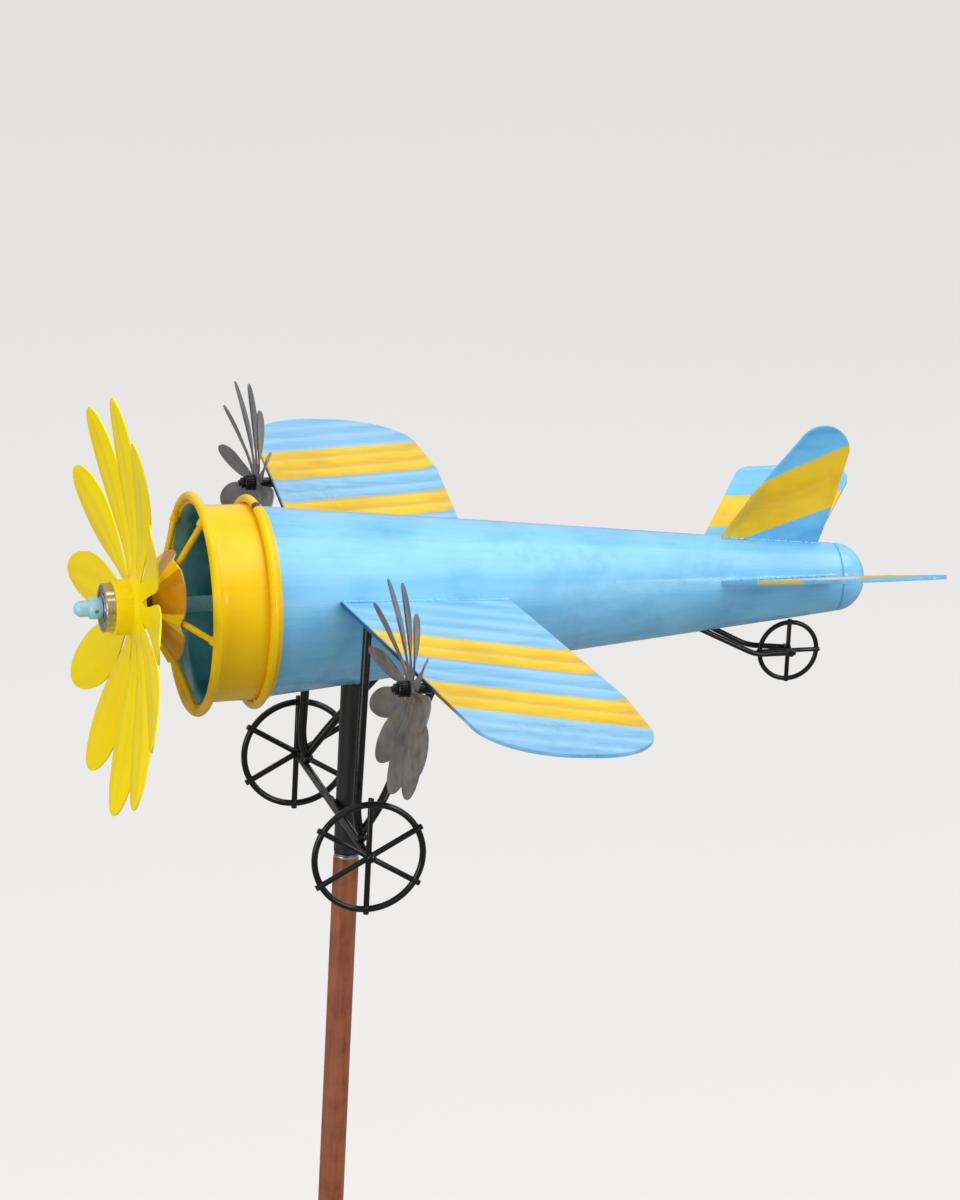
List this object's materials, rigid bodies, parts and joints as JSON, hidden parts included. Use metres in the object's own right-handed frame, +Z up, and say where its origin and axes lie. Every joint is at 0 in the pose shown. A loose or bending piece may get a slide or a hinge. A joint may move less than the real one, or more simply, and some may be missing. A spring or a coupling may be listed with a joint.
{
  "type": "whirligig",
  "caption": "Aeroplane wind spinner on a garden pole: the plane turns with the wind and its nose and wing petal propellers spin freely.",
  "frame": {"origin": "on the pole's axis at ground level, where the stake enters the ground", "axes": "+Z up along the pole; the nose points to -Y and the port wing to +X at rest"},
  "size_m": [0.636, 0.5232, 0.9458],
  "materials": {
    "pole_brown": "satin",
    "plated_steel": "satin",
    "dark_steel": "satin",
    "white_nylon": "matte",
    "mast_charcoal": "satin",
    "teal_enamel": "gloss",
    "blue_enamel": "gloss",
    "yellow_enamel": "gloss",
    "gold_enamel": "gloss",
    "pale_blue_enamel": "gloss",
    "bearing_steel": "polished",
    "petal_yellow": "gloss",
    "petal_grey": "satin",
    "black_enamel": "gloss"
  },
  "bodies": {
    "stand": {"ground_stake": "pole_brown", "ground_prongs": "pole_brown", "pole_tube": "pole_brown", "pivot_spindle": "plated_steel", "pivot_screw": "dark_steel", "thrust_washer": "white_nylon"},
    "plane": {"mast_tube": "mast_charcoal", "mast_lower_bush": "white_nylon", "mast_upper_bush": "white_nylon", "mast_pivot_plug": "mast_charcoal", "fuselage_shell": "blue_enamel", "tail_cap": "blue_enamel", "front_bulkhead": "teal_enamel", "cowl_band": "yellow_enamel", "cowl_front_rim": "yellow_enamel", "cowl_rear_rim": "yellow_enamel", "nose_spider": "yellow_enamel", "spider_hub": "gold_enamel", "nose_cone": "gold_enamel", "prop_shaft": "pale_blue_enamel", "shaft_nut": "plated_steel", "shaft_spacer": "gold_enamel", "bearing_spacer": "plated_steel", "shaft_collar": "pale_blue_enamel", "collar_screw": "dark_steel", "front_bearing_inner": "bearing_steel", "rear_bearing_inner": "bearing_steel", "wing_port": "blue_enamel", "wing_starboard": "blue_enamel", "wing_axle_port": "black_enamel", "wing_axle_starboard": "black_enamel", "axle_boss_port": "black_enamel", "axle_boss_starboard": "black_enamel", "axle_retainer_port": "black_enamel", "axle_retainer_starboard": "black_enamel", "vertical_fin": "blue_enamel", "stabiliser_port": "blue_enamel", "stabiliser_starboard": "blue_enamel", "gear_strut_port": "black_enamel", "gear_strut_starboard": "black_enamel", "gear_axle_bar": "black_enamel", "wheel_port": "black_enamel", "wheel_starboard": "black_enamel", "tail_fork": "black_enamel", "tail_wheel_pin": "black_enamel", "tail_wheel": "black_enamel"},
    "main_prop": {"main_prop_housing": "petal_yellow", "main_prop_petals": "petal_yellow", "front_bearing_outer": "bearing_steel", "rear_bearing_outer": "bearing_steel", "front_bearing_balls": "bearing_steel", "rear_bearing_balls": "bearing_steel", "front_bearing_shield": "bearing_steel"},
    "wing_prop_port": {"wing_prop_port_sleeve": "black_enamel", "wing_prop_port_petals": "petal_grey"},
    "wing_prop_starboard": {"wing_prop_starboard_sleeve": "black_enamel", "wing_prop_starboard_petals": "petal_grey"}
  },
  "joints": [
    {"name": "plane_yaw", "type": "hinge", "parent": "stand", "child": "plane", "pos_m": [0, 0, 0.5], "axis": [0, 0, 1], "continuous": true},
    {"name": "main_prop_spin", "type": "hinge", "parent": "plane", "child": "main_prop", "pos_m": [0, -0.145, 0.667], "axis": [0, 1, 0], "continuous": true},
    {"name": "wing_prop_port_spin", "type": "hinge", "parent": "plane", "child": "wing_prop_port", "pos_m": [0.1945, -0.02, 0.678], "axis": [0, 1, 0], "continuous": true},
    {"name": "wing_prop_starboard_spin", "type": "hinge", "parent": "plane", "child": "wing_prop_starboard", "pos_m": [-0.1945, -0.02, 0.678], "axis": [0, 1, 0], "continuous": true}
  ]
}
